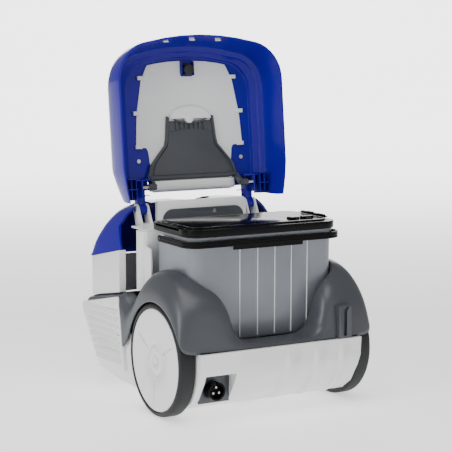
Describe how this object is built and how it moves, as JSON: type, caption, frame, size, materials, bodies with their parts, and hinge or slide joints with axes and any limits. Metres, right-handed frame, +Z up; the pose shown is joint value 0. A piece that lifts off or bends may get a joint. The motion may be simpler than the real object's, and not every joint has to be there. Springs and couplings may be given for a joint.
{
  "type": "pool cleaner",
  "caption": "Robotic pool cleaner with large rear wheels, front brushes, a raised top lid and a lift-out debris canister with its own latched lid and carry handle.",
  "frame": {"origin": "middle of the footprint, on the pool floor", "axes": "+Z up, +Y the direction of travel, +X to the right of travel"},
  "size_m": [0.39, 0.431, 0.6621],
  "materials": {
    "white_plastic": "moulded ABS, light texture",
    "blue_plastic": "moulded ABS, polished",
    "grey_plastic": "moulded, satin",
    "black_plastic": "moulded, satin to gloss",
    "light_grey_plastic": "moulded, satin",
    "smoke_plastic": "smoked polycarbonate, polished",
    "clear_grey_plastic": "translucent polycarbonate",
    "tyre_rubber": "moulded rubber",
    "seal_rubber": "soft rubber",
    "brush_rubber": "soft PVC blades",
    "steel": "stainless, turned",
    "motor_steel": "painted can",
    "circuit_board": "glass epoxy, lacquered"
  },
  "bodies": {
    "root": {"base_shell": "white_plastic", "bottom_plate": "white_plastic", "intake_duct": "light_grey_plastic", "inlet_seal": "seal_rubber", "body_frame": "grey_plastic", "front_shell": "white_plastic", "bulkhead": "white_plastic", "deck": "white_plastic", "deck_insert": "grey_plastic", "nose_cover": "blue_plastic", "side_panel_left": "white_plastic", "side_panel_right": "white_plastic", "connector_plate": "grey_plastic", "power_connector": "black_plastic", "connector_pins": "steel", "cable_clip": "grey_plastic", "motor_box": "light_grey_plastic", "motor_box_cover": "light_grey_plastic", "motor_box_seal": "seal_rubber", "pump_motor": "motor_steel", "control_board": "circuit_board", "pump_duct": "light_grey_plastic", "outlet_grille": "grey_plastic", "drive_motors": "motor_steel", "axle_stubs": "steel", "brush_axle": "steel", "drive_belts": "seal_rubber", "hull_screws": "steel", "hinge_pins": "steel"},
    "rear_wheel_left": {"tyre_left": "tyre_rubber", "wheel_hub_left": "light_grey_plastic", "hub_cap_left": "light_grey_plastic"},
    "rear_wheel_right": {"tyre_right": "tyre_rubber", "wheel_hub_right": "light_grey_plastic", "hub_cap_right": "light_grey_plastic"},
    "drive_shaft_left": {"drive_shaft_left": "steel"},
    "drive_shaft_right": {"drive_shaft_right": "steel"},
    "front_brush_left": {"brush_core_left": "light_grey_plastic", "brush_sleeve_left": "brush_rubber"},
    "front_brush_right": {"brush_core_right": "light_grey_plastic", "brush_sleeve_right": "brush_rubber"},
    "impeller": {"impeller": "light_grey_plastic"},
    "lid": {"lid_shell": "blue_plastic", "lid_arms": "blue_plastic", "lid_panel": "white_plastic", "lid_bumper": "seal_rubber", "lid_screws": "steel", "flap_pins": "steel"},
    "hold_down_flap": {"hold_down_flap": "grey_plastic"},
    "canister": {"canister_bin": "clear_grey_plastic", "canister_screen": "light_grey_plastic", "canister_pins": "steel"},
    "canister_lid": {"canister_lid": "black_plastic", "canister_window": "smoke_plastic", "canister_gasket": "seal_rubber", "latch_pins": "steel"},
    "latch_left": {"latch_left": "black_plastic"},
    "latch_right": {"latch_right": "black_plastic"},
    "canister_handle": {"canister_handle": "black_plastic"},
    "inlet_flap": {"inlet_flap": "seal_rubber"}
  },
  "joints": [
    {"name": "lid_hinge", "type": "hinge", "parent": "root", "child": "lid", "pos_m": [0, 0.111, 0.337], "axis": [-1, 0, 0], "range_deg": [-96, 0]},
    {"name": "flap_pivot", "type": "hinge", "parent": "lid", "child": "hold_down_flap", "pos_m": [0, 0.09838, 0.37955], "axis": [1, 0, 0], "range_deg": [0, 35]},
    {"name": "canister_lift", "type": "slide", "parent": "root", "child": "canister", "axis": [0, 0, 1], "range_m": [0, 0.22]},
    {"name": "canister_lid_hinge", "type": "hinge", "parent": "canister", "child": "canister_lid", "pos_m": [0, 0.0095, 0.322], "axis": [-1, 0, 0], "range_deg": [0, 85]},
    {"name": "left_latch", "type": "hinge", "parent": "canister_lid", "child": "latch_left", "pos_m": [-0.143, -0.072, 0.329], "axis": [0, 1, 0], "range_deg": [0, 70]},
    {"name": "right_latch", "type": "hinge", "parent": "canister_lid", "child": "latch_right", "pos_m": [0.143, -0.072, 0.329], "axis": [0, -1, 0], "range_deg": [-18, 52]},
    {"name": "handle_pivot", "type": "hinge", "parent": "canister", "child": "canister_handle", "pos_m": [0, -0.049, 0.3056], "axis": [-1, 0, 0], "range_deg": [0, 90]},
    {"name": "inlet_flap_pivot", "type": "hinge", "parent": "canister", "child": "inlet_flap", "pos_m": [0, -0.075, 0.145], "axis": [1, 0, 0], "range_deg": [0, 65]},
    {"name": "left_wheel_spin", "type": "hinge", "parent": "root", "child": "rear_wheel_left", "pos_m": [-0.179, -0.1, 0.1], "axis": [1, 0, 0], "continuous": true},
    {"name": "right_wheel_spin", "type": "hinge", "parent": "root", "child": "rear_wheel_right", "pos_m": [0.179, -0.1, 0.1], "axis": [1, 0, 0], "continuous": true},
    {"name": "left_shaft_spin", "type": "hinge", "parent": "root", "child": "drive_shaft_left", "pos_m": [-0.15, -0.058, 0.1], "axis": [1, 0, 0], "continuous": true},
    {"name": "right_shaft_spin", "type": "hinge", "parent": "root", "child": "drive_shaft_right", "pos_m": [0.15, -0.058, 0.1], "axis": [1, 0, 0], "continuous": true},
    {"name": "left_brush_spin", "type": "hinge", "parent": "root", "child": "front_brush_left", "pos_m": [-0.06, 0.132, 0.042], "axis": [1, 0, 0], "continuous": true},
    {"name": "right_brush_spin", "type": "hinge", "parent": "root", "child": "front_brush_right", "pos_m": [0.06, 0.132, 0.042], "axis": [1, 0, 0], "continuous": true},
    {"name": "impeller_spin", "type": "hinge", "parent": "root", "child": "impeller", "pos_m": [0, 0.147, 0.21], "axis": [0, 0, 1], "continuous": true}
  ],
  "couplings": [
    {"joint": "left_shaft_spin", "follows": "left_wheel_spin", "ratio": 4},
    {"joint": "left_brush_spin", "follows": "left_wheel_spin", "ratio": 3},
    {"joint": "right_shaft_spin", "follows": "right_wheel_spin", "ratio": 4},
    {"joint": "right_brush_spin", "follows": "right_wheel_spin", "ratio": 3}
  ]
}
